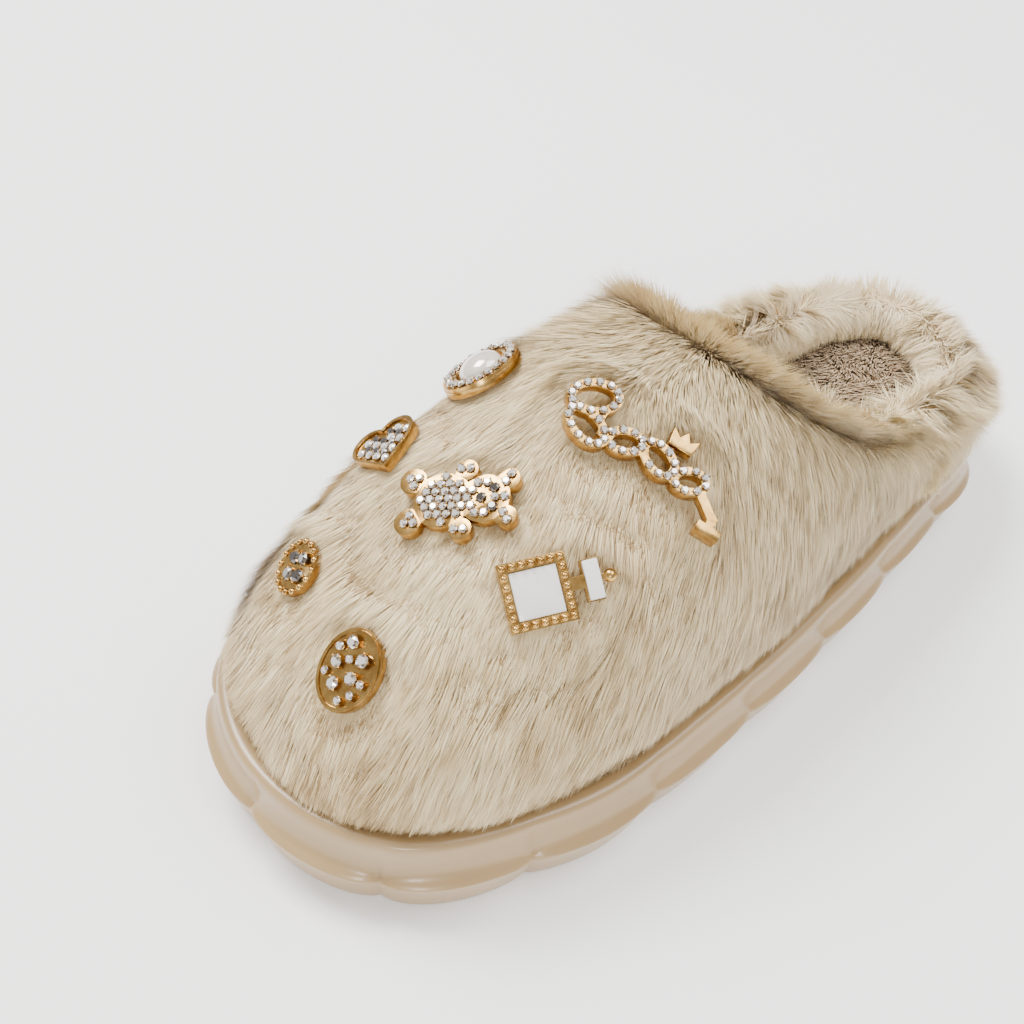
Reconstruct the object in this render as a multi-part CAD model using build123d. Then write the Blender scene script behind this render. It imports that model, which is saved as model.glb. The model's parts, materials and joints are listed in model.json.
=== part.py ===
from build123d import *
from functools import cache
from math import atan2, cos, hypot, pi, sin
import os

# A plush house slipper for the left foot: moulded EVA cup sole, lasted fur upper, seven pinned charms.
# Origin: centre of the footprint, on the floor. The toe points to -Y, the outer (little-toe) side to +X.
# All sizes are millimetres.

# ---- driving dimensions: sole -------------------------------------------------------------------
# Plan outline of the sole at its widest level, toe first, outer side next
OUTLINE = [(-7.2, -137.5), (28.8, -126.5), (48.8, -87.5), (51.8, -44), (49.8, 9), (45.3, 55), (39.8, 96),
           (20.3, 127.5), (-4.2, 137.5), (-27.2, 130.5), (-41.7, 99), (-41.2, 57), (-42.2, 9),
           (-47.2, -45), (-51.7, -86), (-40.7, -122.5)]
RIDGE_Z = 12.0          # height of the sole's widest line
RIM_Z = 22.0            # top of the cup's rim
CUP_FLOOR_Z = 14.0      # inside floor of the cup
CUP_WALL_INSET = 8.7    # inner face of the cup wall, measured in from the outline
TREAD_DEPTH = 1.2
TREAD_PITCH = 11.0
TREAD_GROOVE = 2.6

# ---- driving dimensions: upper ------------------------------------------------------------------
UPPER_Z = 22.3          # the fur overhangs the rim from here up
UPPER_INSET = 6.5       # foot of the fur's outer face, in from the outline
CROWN = (-8.2, -28.0)   # plan position of the instep's highest point
CREST_Z = 88.0          # height of that point
POWER_TOE, POWER_SIDE, POWER_HEEL = 1.5, 2.3, 2.2
DOME_LEVELS = [0, 0.22, 0.45, 0.68, 0.86, 0.975]
# Side view of the top edge, from the throat down to the heel (y, z)
TOPLINE = [(-24, 95), (0, 71.5), (20, 60.5), (45, 50), (75, 42.5), (105, 37.5), (150, 35.5)]
TUCK_DROP = 2.0         # foam and lining stop this far below the fur's top edge
SEAM_Y = 55.0           # side seams between the vamp and the heel quarter
SEAM_GAP = 0.4
FUR, FOAM, LINING = (0, 5.0), (5.2, 7.2), (7.4, 9.5)   # depths of the layers below the fur's face
COUNTER = (5.2, 6.2)
COUNTER_TOP_Z, COUNTER_FRONT_Y = 31.0, 88.0
LAYER_GAP = 0.3

# ---- driving dimensions: inside -----------------------------------------------------------------
BOARD_TOP_Z, FOOTBED_TOP_Z, PLUSH_TOP_Z = 16.0, 22.0, 25.5
FOOTBED_INSET = 16.3

# ---- driving dimensions: charms -----------------------------------------------------------------
PLATE_GAP = 0.4         # charm back above the fur's face
PLATE = 2.4             # casting thickness
POST_R, BORE_R = 1.0, 1.06
BORE_MIDDLE, BORE_LENGTH = -7.5, 18.0
BUTTON_R, BUTTON_T = 4.0, 1.6
BUTTON_GAP = 0.35       # button face clear of the curved lining
STONE_H = 1.1

SAMPLES = 20            # points on a section

outline = Spline(OUTLINE, periodic=True)


def outline_point(t, inset):
    """Point at share t of the outline's length, moved inwards by inset."""
    length = outline.length * (t % 1.0)
    point = outline.position_at(length, position_mode=PositionMode.LENGTH)
    along = outline.tangent_at(length, position_mode=PositionMode.LENGTH)
    return point.X - along.Y * inset, point.Y + along.X * inset


def face_through(points, z):
    """Flat face at height z inside a smooth closed curve."""
    steps = [i / len(points) for i in range(len(points) + 1)]
    return make_face(Edge.make_spline([(x, y, z) for x, y in points], periodic=True, parameters=steps))


def section(inset, z):
    """Plain sole-shaped face at height z."""
    return face_through([outline_point(i / SAMPLES, inset) for i in range(SAMPLES)], z)


def slab(inset, low, high):
    """Sole-shaped plate between two heights."""
    return extrude(section(inset, low), amount=high - low, dir=(0, 0, 1))


# ---- sole ---------------------------------------------------------------------------------------
def sole_unit():
    """Cup sole: three bands of (height, inset) up to the ridge, over the hollow flank and round the rim."""
    lower = [(0, 4.2), (1.4, 2.4), (6.5, 0.9), (RIDGE_Z, 0)]
    flank = [(RIDGE_Z, 0), (14.2, 1.9), (17, 2.9), (20, 3.4)]
    rim = [(20, 3.4), (21.3, 3.9), (RIM_Z, 5.2)]
    body = None
    for band in (lower, flank, rim):
        part = loft([section(inset, z) for z, inset in band])
        body = part if body is None else body + part
    body -= slab(CUP_WALL_INSET, CUP_FLOOR_Z, RIM_Z + 5)
    tread_area = slab(11, -1, TREAD_DEPTH)
    for i in range(-11, 12):
        if abs(i * TREAD_PITCH - 10) > 25:
            groove = Pos(0, i * TREAD_PITCH, 0) * Box(200, TREAD_GROOVE, 2 * TREAD_DEPTH)
            body -= groove & tread_area
    return body


# ---- upper --------------------------------------------------------------------------------------
def power_towards(angle):
    """How square the dome's section is in a plan direction: sharp to the toe, fuller to the sides."""
    end = POWER_TOE if sin(angle) < 0 else POWER_HEEL
    return POWER_SIDE + (end - POWER_SIDE) * sin(angle) ** 2


def dome_section(depth, level):
    """Level is the share of the dome's height, 0 at the rim and 1 at the crest."""
    points = []
    for i in range(SAMPLES):
        x, y = outline_point(i / SAMPLES, UPPER_INSET + depth)
        dx, dy = x - CROWN[0], y - CROWN[1]
        power = power_towards(atan2(dy, dx))
        reach = (1 - level ** power) ** (1 / power)
        points.append((CROWN[0] + dx * reach, CROWN[1] + dy * reach))
    return face_through(points, UPPER_Z + (CREST_Z - depth - UPPER_Z) * level)


@cache
def dome(depth):
    """The upper's whole outer form as a closed solid, drawn in by depth and tucked into the cup below the rim."""
    foot = max(UPPER_INSET + depth, CUP_WALL_INSET + LAYER_GAP)
    return slab(foot, CUP_FLOOR_Z, UPPER_Z) + loft([dome_section(depth, level) for level in DOME_LEVELS])


def above_topline(drop=0.0):
    """Everything above the top edge, lowered by drop."""
    edge = Spline([(y, z - drop) for y, z in TOPLINE])
    start, end = edge @ 0, edge @ 1
    rest = Polyline((end.X, end.Y), (end.X, 130), (start.X, 130), (start.X, start.Y))
    return extrude(Plane.YZ * make_face(edge + rest), amount=100, both=True)


def slice_y(low, high, top=200.0):
    """Block across the whole width between two lengthwise positions."""
    return Pos(0, (low + high) / 2, top / 2) * Box(300, high - low, top)


def layer(depths, drop, bores):
    """One skin of the upper between two depths, pierced for the charm posts and open along the topline."""
    shell = dome(depths[0]) - dome(depths[1])
    for bore in bores:
        shell -= bore
    return shell - above_topline(drop)


def heel_counter():
    shell = dome(COUNTER[0]) - dome(COUNTER[1]) - above_topline(TUCK_DROP)
    return shell & slice_y(COUNTER_FRONT_Y, 200, COUNTER_TOP_Z)


def counter_pocket():
    shell = dome(COUNTER[0]) - dome(COUNTER[1] + LAYER_GAP / 2)
    return shell & slice_y(COUNTER_FRONT_Y - 1, 200, COUNTER_TOP_Z + LAYER_GAP)


# ---- charms, drawn flat: z = 0 is the fur's face, +Z is out -------------------------------------
def stone(x, y, radius, z=PLATE_GAP + PLATE, height=STONE_H):
    """A set stone: cut cone on its seat."""
    return Pos(x, y, z + height / 2) * Cone(radius, 0.55 * radius, height)


def stones(places, radius):
    return [stone(x, y, radius) for x, y in places]


def plate(sketch, thickness=PLATE):
    return Pos(0, 0, PLATE_GAP) * extrude(sketch, amount=thickness)


def on_ellipse(count, rx, ry, phase=0.0):
    angles = [2 * pi * (i + phase) / count for i in range(count)]
    return [(rx * cos(a), ry * sin(a)) for a in angles]


def hexagonal_grid(pitch, reach):
    """Rows of places a pitch apart, every second row shifted by half a pitch."""
    rows = int(reach / (pitch * 0.87)) + 1
    columns = int(reach / pitch) + 1
    places = []
    for row in range(-rows, rows + 1):
        for column in range(-columns, columns + 1):
            places.append(((column + 0.5 * (row % 2)) * pitch, row * pitch * 0.87))
    return places


def discs(circles):
    """One sketch from overlapping discs (x, y, radius)."""
    sketch = None
    for x, y, radius in circles:
        disc = Pos(x, y) * Circle(radius)
        sketch = disc if sketch is None else sketch + disc
    return sketch


def inside_discs(x, y, circles, margin):
    return any(hypot(x - cx, y - cy) < radius - margin for cx, cy, radius in circles)


def pearl_charm():
    casting = plate(Ellipse(9.6, 8.8), 1.6) + plate(Ellipse(9.4, 8.6) - Ellipse(6.0, 5.3))
    ring = stones(on_ellipse(22, 8.0, 7.2), 0.95)
    cabochon = Pos(0, 0, PLATE_GAP + 1.6) * scale(Sphere(5.4), by=(1.0, 0.88, 0.62))
    cabochon &= Pos(0, 0, PLATE_GAP + 1.6 + 10) * Box(20, 20, 20)
    return {"casting": [casting], "stones": ring, "cabochon": [cabochon]}


HEART_R = 4.6


def heart_sketch(radius):
    """Heart of two discs on a square standing on its corner."""
    side = 2 * radius
    lobes = [Pos(x, radius * 0.707) * Circle(radius) for x in (-radius * 0.707, radius * 0.707)]
    return Rot(0, 0, 45) * Rectangle(side, side) + lobes[0] + lobes[1]


def heart_charm():
    inner = HEART_R - 0.55
    wall = heart_sketch(HEART_R) - heart_sketch(inner)
    lobes = [(inner * 0.707, inner * 0.707, inner), (-inner * 0.707, inner * 0.707, inner)]
    casting = plate(heart_sketch(HEART_R), 1.7) + plate(wall)
    black, white = [], []
    pitch = 1.95
    for row in range(-4, 5):
        for column in range(-4, 5):
            x, y = column * pitch, row * pitch + 0.6
            square = abs(x) + abs(y) < inner * 1.41 - 1.5
            if inside_discs(x, y, lobes, 1.0) or square:
                group = black if (row + column) % 2 else white
                group.append(stone(x, y, 0.92, PLATE_GAP + 1.7))
    return {"casting": [casting], "black_stones": black, "white_stones": white}


def flower_charm():
    casting = plate(Ellipse(5.4, 6.2), 1.7)
    for x, y in on_ellipse(16, 4.9, 5.7):
        casting += Pos(x, y, PLATE_GAP + 1.7) * Sphere(0.75)
    petals = [stone(x, y, 1.55, PLATE_GAP + 1.7, 1.3) for x, y in on_ellipse(4, 2.0, 2.6, 0.5)]
    return {"casting": [casting], "stones": petals}


def cluster_charm():
    casting = plate(Ellipse(8.6, 6.9), 1.8) + plate(Ellipse(8.2, 6.5) - Ellipse(7.6, 5.9))
    large = stones([(-3.6, 1.6), (2.9, -2.2), (0.4, 2.9), (5.2, 1.5), (-1.2, -1.6)], 1.45)
    small = stones([(-6.0, -1.2), (-4.0, -3.2), (-1.2, -4.2), (3.4, 3.6), (-2.2, 4.3), (2.0, 0.4)], 0.85)
    return {"casting": [casting], "stones": large + small}


BEAR = [(5.6, 0, 5.3), (10.3, 4.1, 2.3), (10.3, -4.1, 2.3), (-3.2, 0, 6.2), (1.2, 6.6, 2.4),
        (1.2, -6.6, 2.4), (-10.0, 4.6, 2.9), (-10.0, -4.6, 2.9)]
BEAR_EYES = [(7.4, 2.1), (7.4, -2.1), (4.8, 0)]


def bear_charm():
    casting = plate(discs(BEAR), PLATE)
    pave = []
    for x, y in hexagonal_grid(1.95, 14):
        clear = all(hypot(x - ex, y - ey) > 1.75 for ex, ey in BEAR_EYES)
        if clear and inside_discs(x, y, BEAR, 0.95):
            pave.append(stone(x, y, 0.85))
    return {"casting": [casting], "stones": pave, "dark_stones": stones(BEAR_EYES, 1.0)}


def bottle_charm():
    side, wall = 13.6, 1.9
    inner = side - 2 * wall
    body = Pos(-4.6, 0) * Rectangle(side, side)
    panel = Pos(-4.6, 0) * Rectangle(inner - 0.1, inner - 0.1)
    neck = Pos(3.5, 0) * Rectangle(3.0, 2.6)
    bar = Pos(6.6, 0) * Rectangle(3.6, 8.4)
    casting = plate(body + neck, 1.6) + plate(body - panel + neck) + plate(bar, 1.6)
    beads = []
    for i in range(7):
        place = (i - 3) * (side - wall) / 6
        edge = (side - wall) / 2
        beads += [(place, edge), (place, -edge), (edge, place), (-edge, place)]
    for x, y in beads:
        casting += Pos(x - 4.6, y, PLATE_GAP + PLATE) * Sphere(0.8)
    casting += Pos(10.2, 0, PLATE_GAP + 1.4) * Sphere(1.4) + Pos(9.2, 0, PLATE_GAP + 1.2) * Box(2, 1.2, 1.6)
    enamel = Pos(-4.6, 0, PLATE_GAP + 1.9) * Box(inner - 0.3, inner - 0.3, 0.6)
    stopper = Pos(6.6, 0, PLATE_GAP + 2.2) * Box(3.0, 7.8, 1.2)
    return {"casting": [casting], "panel": [enamel], "stopper": [stopper]}


# Scroll: rings (x, y, half length, half width, turn) in a chain that gets smaller, then a foot bar
SCROLL = [(-14.5, 3.4, 6.0, 4.2, 35), (-13.0, -3.2, 5.6, 3.8, -20), (-4.6, -1.6, 4.6, 3.3, 25),
          (3.0, -1.0, 5.0, 3.6, -25), (10.6, -1.6, 4.4, 3.2, 30)]
SCROLL_WIRE = 1.9


def scroll_charm():
    sketch = None
    for x, y, long, wide, turn in SCROLL:
        band = Ellipse(long, wide) - Ellipse(long - SCROLL_WIRE, wide - SCROLL_WIRE)
        band = Pos(x, y) * Rot(0, 0, turn) * band
        sketch = band if sketch is None else sketch + band
    sketch += Pos(-12.0, 0) * Rectangle(3.0, 2.6) + Pos(-0.8, -1.4) * Rectangle(2.4, 2.0)
    sketch += Pos(7.0, -1.3) * Rectangle(2.6, 2.0) + Pos(-8.8, -2.4) * Rectangle(3.4, 2.6)
    tail = Pos(15.6, -4.2) * Rot(0, 0, -40) * Rectangle(8.0, 1.9) + Pos(18.2, -7.4) * Rectangle(1.9, 4.4)
    casting = plate(sketch + tail) + Pos(18.2, -9.4, PLATE_GAP + 1.8) * Box(5.2, 2.2, 3.6)
    chips = []
    for x, y, long, wide, turn in SCROLL:
        half = SCROLL_WIRE / 2
        count = int(2 * pi * (long + wide - SCROLL_WIRE) / 2 / 2.05)
        for px, py in on_ellipse(count, long - half, wide - half, 0.5):
            c, s = cos(turn * pi / 180), sin(turn * pi / 180)
            place = (x + px * c - py * s, y + px * s + py * c)
            if all(hypot(place[0] - ox, place[1] - oy) > 1.55 for ox, oy in chips):
                chips.append(place)
    crown = Pos(5.6, 5.0) * Polygon((-2.6, -1.8), (2.6, -1.8), (3.2, 2.4), (1.2, 0.8), (0, 3.0), (-1.2, 0.8),
                                   (-3.2, 2.4), align=None)
    return {"casting": [casting], "stones": stones(chips, 0.75), "crown": [plate(crown, PLATE + 0.4)]}


# Each charm: builder, plan position on the upper, direction of its local X in plan, post places
CHARMS = {
    "scroll": (scroll_charm, (17.0, -50.5), (0.96, 0.28), [(-8.8, -2.4), (7.0, -1.3)]),
    "bear": (bear_charm, (-1.5, -83.0), (0.74, 0.67), [(-6.0, 0), (5.0, 0)]),
    "bottle": (bottle_charm, (23.4, -79.8), (0.37, 0.93), [(-7.5, 0), (0, 0)]),
    "cluster": (cluster_charm, (3.8, -114.4), (-0.18, 0.98), [(0, 0)]),
    "flower": (flower_charm, (-22.6, -107.2), (-0.9, -0.44), [(0, 0)]),
    "heart": (heart_charm, (-25.2, -82.0), (0.6, 0.8), [(0, 0)]),
    "pearl": (pearl_charm, (-23.2, -57.2), (0.0, 1.0), [(0, 0)]),
}


def seat_plane(surface, plan, direction):
    """Tangent plane of the fur's face under a charm, its X along the given plan direction."""
    hits = surface.find_intersection_points(Axis((plan[0], plan[1], 0), (0, 0, 1)))
    point, normal = max(hits, key=lambda hit: hit[0].Z)
    normal = normal if normal.Z > 0 else normal * -1
    flat = Vector(direction[0], direction[1], 0)
    return Plane(origin=point, x_dir=flat - normal * flat.dot(normal), z_dir=normal)


def button_depth(inside, seat, x, y):
    """Deepest point of the lining's inner face under a button at (x, y) of the seat."""
    rim = [(0, 0)] + on_ellipse(8, BUTTON_R, BUTTON_R)
    depths = []
    for dx, dy in rim:
        start = seat.from_local_coords((x + dx, y + dy, 0))
        hits = inside.find_intersection_points(Axis(start, seat.z_dir * -1))
        depths.append(min((start - hit[0]).dot(seat.z_dir) for hit in hits))
    return max(depths)


def fasteners(posts, inside, seat):
    """Posts with their heads, and the plastic buttons snapped on inside."""
    shafts, buttons = [], []
    for x, y in posts:
        face = -(button_depth(inside, seat, x, y) + BUTTON_GAP)
        end = face - BUTTON_T
        shaft = Pos(x, y, (end + PLATE_GAP) / 2) * Cylinder(POST_R, PLATE_GAP - end)
        shafts.append(shaft + Pos(x, y, end - 0.4) * Cylinder(POST_R + 0.5, 0.8))
        disc = Pos(x, y, face - BUTTON_T / 2) * Cylinder(BUTTON_R, BUTTON_T)
        buttons.append(disc - Pos(x, y, 0) * Cylinder(POST_R, 80))
    return shafts, buttons


def write(name, solids):
    shape = solids[0] if len(solids) == 1 else Compound(children=list(solids))
    export_step(shape, f"parts/{name}.step")


# ---- build --------------------------------------------------------------------------------------
os.makedirs("parts", exist_ok=True)

skin = dome(FUR[0])
inner = dome(LINING[1])
bores = []
for name, (builder, plan, direction, posts) in CHARMS.items():
    seat = seat_plane(skin, plan, direction)
    groups = builder()
    shafts, buttons = fasteners(posts, inner, seat)
    groups["posts" if len(posts) > 1 else "post"] = shafts
    groups["buttons" if len(posts) > 1 else "button"] = buttons
    for part_name, solids in groups.items():
        write(f"{name}_{part_name}", [seat * solid for solid in solids])
    for x, y in posts:
        bores.append(seat * (Pos(x, y, BORE_MIDDLE) * Cylinder(BORE_R, BORE_LENGTH)))
    print(f"{name}: seat {seat.origin}, normal {seat.z_dir}")

front = slice_y(-200, SEAM_Y)
back = slice_y(SEAM_Y + SEAM_GAP, 200)
for name, depths, drop in (("fur", FUR, 0), ("foam", FOAM, TUCK_DROP), ("lining", LINING, TUCK_DROP)):
    skin_layer = layer(depths, drop, bores)
    heel_part = skin_layer & back
    if name == "foam":
        heel_part -= counter_pocket()
    write(f"vamp_{name}", [skin_layer & front])
    write(f"quarter_{name}", [heel_part])

write("sole_unit", [sole_unit()])
write("insole_board", [slab(FOOTBED_INSET, CUP_FLOOR_Z, BOARD_TOP_Z)])
write("footbed_foam", [slab(FOOTBED_INSET + 0.1, BOARD_TOP_Z, FOOTBED_TOP_Z)])
write("footbed_plush", [slab(FOOTBED_INSET + 1.4, FOOTBED_TOP_Z, PLUSH_TOP_Z)])
write("heel_counter", [heel_counter()])
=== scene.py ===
import json
import logging
import math
from dataclasses import dataclass, field
from enum import Enum

import bmesh
import bpy
import numpy as np
from mathutils import Matrix, Vector

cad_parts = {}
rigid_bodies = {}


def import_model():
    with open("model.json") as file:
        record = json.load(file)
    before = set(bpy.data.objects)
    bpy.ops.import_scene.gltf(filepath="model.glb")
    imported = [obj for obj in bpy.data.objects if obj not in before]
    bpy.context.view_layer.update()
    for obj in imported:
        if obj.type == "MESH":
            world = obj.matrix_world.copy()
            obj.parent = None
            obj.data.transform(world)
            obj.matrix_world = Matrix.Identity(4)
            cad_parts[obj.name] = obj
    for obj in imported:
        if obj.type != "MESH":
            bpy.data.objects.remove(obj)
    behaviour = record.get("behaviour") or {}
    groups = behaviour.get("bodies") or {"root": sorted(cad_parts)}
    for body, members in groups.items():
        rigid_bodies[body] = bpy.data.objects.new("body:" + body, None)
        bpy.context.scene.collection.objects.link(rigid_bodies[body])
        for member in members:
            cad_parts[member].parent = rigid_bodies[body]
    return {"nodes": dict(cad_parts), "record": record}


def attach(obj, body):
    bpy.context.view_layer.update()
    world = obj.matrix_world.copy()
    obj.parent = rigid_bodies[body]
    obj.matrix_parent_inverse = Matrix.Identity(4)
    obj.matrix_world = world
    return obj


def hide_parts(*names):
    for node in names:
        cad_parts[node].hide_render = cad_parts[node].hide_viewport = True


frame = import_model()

LOG = logging.getLogger("slipper")
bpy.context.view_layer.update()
MM = 0.001
CUP_LINE = 0.0205          # pile starts this high, just below the rim of the cup
Colour = tuple[float, float, float, float]


# ---- small helpers ------------------------------------------------------------------------------
def link(obj: bpy.types.Object) -> bpy.types.Object:
    """Puts an object in the scene and returns it."""
    bpy.context.scene.collection.objects.link(obj)
    return obj


def mesh_object(name: str, verts: list, faces: list) -> bpy.types.Object:
    """Makes a linked mesh object from vertices and faces.

    Args:
        name: Name of the object and its mesh.
        verts: Vertex positions in metres.
        faces: Vertex indices of each face.

    Returns:
        The new object.
    """
    mesh = bpy.data.meshes.new(name)
    mesh.from_pydata([tuple(v) for v in verts], [], faces)
    mesh.update()
    return link(bpy.data.objects.new(name, mesh))


def baked(obj: bpy.types.Object) -> bpy.types.Object:
    """Applies an object's modifiers, so that only a plain mesh is left.

    Args:
        obj: The object with live modifiers.

    Returns:
        The same object with its evaluated mesh.
    """
    graph = bpy.context.evaluated_depsgraph_get()
    graph.update()
    mesh = bpy.data.meshes.new_from_object(obj.evaluated_get(graph), depsgraph=graph)
    obj.modifiers.clear()
    old = obj.data
    obj.data = mesh
    if old.users == 0:
        bpy.data.meshes.remove(old)
    return obj


def merged_copy(name: str, nodes: list[str]) -> bpy.types.Object:
    """Copies CAD nodes into one object whose loose triangles are joined.

    Args:
        name: Name of the new object.
        nodes: CAD nodes to copy.

    Returns:
        The merged copy.
    """
    work = bmesh.new()
    for node in nodes:
        work.from_mesh(frame["nodes"][node].data)
    bmesh.ops.remove_doubles(work, verts=work.verts, dist=0.00001)
    mesh = bpy.data.meshes.new(name)
    work.to_mesh(mesh)
    work.free()
    return link(bpy.data.objects.new(name, mesh))


def smooth(obj: bpy.types.Object, degrees: float = 180.0) -> None:
    """Shades an object smooth, with its edges above an angle kept sharp."""
    obj.data.shade_smooth()
    if degrees < 180.0:
        obj.data.set_sharp_from_angle(angle=math.radians(degrees))


def coordinates(mesh: bpy.types.Mesh) -> np.ndarray:
    """Vertex positions of a mesh, one row each."""
    flat = np.empty(3 * len(mesh.vertices), dtype=np.float32)
    mesh.vertices.foreach_get("co", flat)
    return flat.reshape(-1, 3).astype(float)


def set_coordinates(mesh: bpy.types.Mesh, points: np.ndarray) -> None:
    """Writes vertex positions back to a mesh."""
    mesh.vertices.foreach_set("co", points.astype(np.float32).ravel())
    mesh.update()


def normals(mesh: bpy.types.Mesh) -> np.ndarray:
    """Vertex normals of a mesh, one row each."""
    flat = np.empty(3 * len(mesh.vertices), dtype=np.float32)
    mesh.vertex_normals.foreach_get("vector", flat)
    return flat.reshape(-1, 3).astype(float)


# ---- finishes -----------------------------------------------------------------------------------
class Graph:
    """A material's node graph with short ways to add and join nodes."""

    def __init__(self, name: str) -> None:
        """Starts a material that holds only a shader and its output."""
        self.material = bpy.data.materials.new(name)
        self.material.use_nodes = True
        self.nodes = self.material.node_tree.nodes
        self.links = self.material.node_tree.links
        self.shader = self.nodes["Principled BSDF"]
        self.object = self.add("ShaderNodeTexCoord").outputs["Object"]

    def add(self, kind: str, **settings: object) -> bpy.types.Node:
        """Adds a node; a setting named like an input sets that input.

        Args:
            kind: The node's type.
            **settings: Node properties or input values.

        Returns:
            The new node.
        """
        node = self.nodes.new(kind)
        for key, value in settings.items():
            if hasattr(node, key):
                setattr(node, key, value)
            else:
                node.inputs[key.replace("_", " ")].default_value = value
        return node

    def noise(self, scale: float, detail: float = 3.0, rough: float = 0.55) -> bpy.types.NodeSocket:
        """Noise over the piece, in features per metre."""
        node = self.add("ShaderNodeTexNoise", Scale=scale, Detail=detail, Roughness=rough)
        self.links.new(self.object, node.inputs["Vector"])
        return node.outputs["Fac"]

    def blend(self, amount: bpy.types.NodeSocket, stops: list[tuple[float, Colour]]) -> None:
        """Colours the piece by a ramp over a pattern."""
        ramp = self.add("ShaderNodeValToRGB")
        elements = ramp.color_ramp.elements
        while len(elements) < len(stops):
            elements.new(0.5)
        for element, (place, colour) in zip(elements, stops):
            element.position = place
            element.color = colour
        self.links.new(amount, ramp.inputs["Fac"])
        self.links.new(ramp.outputs["Color"], self.shader.inputs["Base Color"])

    def roughness(self, pattern: bpy.types.NodeSocket, low: float, high: float) -> None:
        """Varies the roughness between two values by a pattern."""
        span = self.add("ShaderNodeMapRange")
        span.inputs["To Min"].default_value = low
        span.inputs["To Max"].default_value = high
        self.links.new(pattern, span.inputs["Value"])
        self.links.new(span.outputs["Result"], self.shader.inputs["Roughness"])

    def bump(self, pattern: bpy.types.NodeSocket, strength: float, distance: float) -> None:
        """Raises the surface by a pattern; distance is in metres."""
        node = self.add("ShaderNodeBump", Strength=strength, Distance=distance)
        self.links.new(pattern, node.inputs["Height"])
        self.links.new(node.outputs["Normal"], self.shader.inputs["Normal"])


@dataclass(frozen=True)
class Finish:
    """A surface with a two-tone mottle, uneven roughness and a fine relief."""

    name: str
    dark: Colour
    light: Colour
    rough: tuple[float, float]
    mottle: float = 60.0
    grain: float = 900.0
    relief: float = 0.0001
    strength: float = 0.3
    metallic: float = 0.0
    coat: float = 0.0
    sheen: float = 0.0
    specular: float = 0.5
    subsurface: float = 0.0

    def material(self) -> bpy.types.Material:
        """Builds the material.

        Returns:
            The new material.
        """
        graph = Graph(self.name)
        graph.blend(graph.noise(self.mottle), [(0.3, self.dark), (0.7, self.light)])
        fine = graph.noise(self.grain, 4.0, 0.6)
        graph.roughness(fine, *self.rough)
        graph.bump(fine, self.strength, self.relief)
        graph.shader.inputs["Metallic"].default_value = self.metallic
        graph.shader.inputs["Coat Weight"].default_value = self.coat
        graph.shader.inputs["Sheen Weight"].default_value = self.sheen
        graph.shader.inputs["Specular IOR Level"].default_value = self.specular
        if self.subsurface:
            graph.shader.inputs["Subsurface Weight"].default_value = self.subsurface
            graph.shader.inputs["Subsurface Radius"].default_value = (0.004, 0.0025, 0.0015)
            graph.shader.inputs["Subsurface Scale"].default_value = 1.0
        return graph.material


@dataclass(frozen=True)
class PlainFinish:
    """One strand shade or one painted-reflection shade of a cut stone: a single even colour, because each
    face is smaller than any pattern.
    """

    name: str
    colour: Colour
    rough: float
    metallic: float = 0.0
    sheen: float = 0.0
    specular: float = 0.4
    coat: float = 0.0

    def material(self) -> bpy.types.Material:
        """Builds the material.

        Returns:
            The new material.
        """
        graph = Graph(self.name)
        graph.shader.inputs["Base Color"].default_value = self.colour
        graph.shader.inputs["Roughness"].default_value = self.rough
        graph.shader.inputs["Metallic"].default_value = self.metallic
        graph.shader.inputs["Sheen Weight"].default_value = self.sheen
        graph.shader.inputs["Specular IOR Level"].default_value = self.specular
        graph.shader.inputs["Coat Weight"].default_value = self.coat
        return graph.material


EVA = Finish("eva_foam", (0.36, 0.235, 0.105, 1), (0.41, 0.27, 0.125, 1), (0.27, 0.36), 25, 2600,
             0.00004, 0.2, specular=0.6, coat=0.12)
BACKING = Finish("knit_backing", (0.30, 0.215, 0.135, 1), (0.44, 0.33, 0.215, 1), (0.8, 0.95), 90, 1500,
                 0.0004, 0.6)
FOAM = Finish("open_foam", (0.68, 0.62, 0.48, 1), (0.76, 0.71, 0.58, 1), (0.85, 0.95), 120, 2200, 0.0003, 0.7)
BOARD = Finish("fibre_board", (0.25, 0.17, 0.09, 1), (0.33, 0.23, 0.13, 1), (0.8, 0.9), 300, 3000,
               0.0001, 0.4)
COUNTER = Finish("moulded_counter", (0.6, 0.58, 0.5, 1), (0.68, 0.66, 0.58, 1), (0.4, 0.5), 60, 1200)
GOLD = Finish("gold_plate", (0.36, 0.19, 0.05, 1), (0.68, 0.43, 0.14, 1), (0.16, 0.30), 350, 2500,
              0.00003, 0.25, metallic=1.0)
STEEL = Finish("steel_post", (0.45, 0.45, 0.45, 1), (0.6, 0.6, 0.6, 1), (0.25, 0.4), 300, 3000, metallic=1.0)
BUTTON = Finish("clear_plastic", (0.7, 0.7, 0.66, 1), (0.78, 0.78, 0.74, 1), (0.12, 0.2), 100, 1500,
                0.00003, 0.1)
ENAMEL = Finish("white_enamel", (0.80, 0.78, 0.73, 1), (0.88, 0.87, 0.83, 1), (0.22, 0.30), 120, 900,
                0.00003, 0.08, coat=0.25)
PEARL = Finish("pearl", (0.74, 0.66, 0.57, 1), (0.86, 0.80, 0.72, 1), (0.10, 0.18), 220, 900, 0.00002, 0.05,
               metallic=0.25, coat=1.0)


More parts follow.
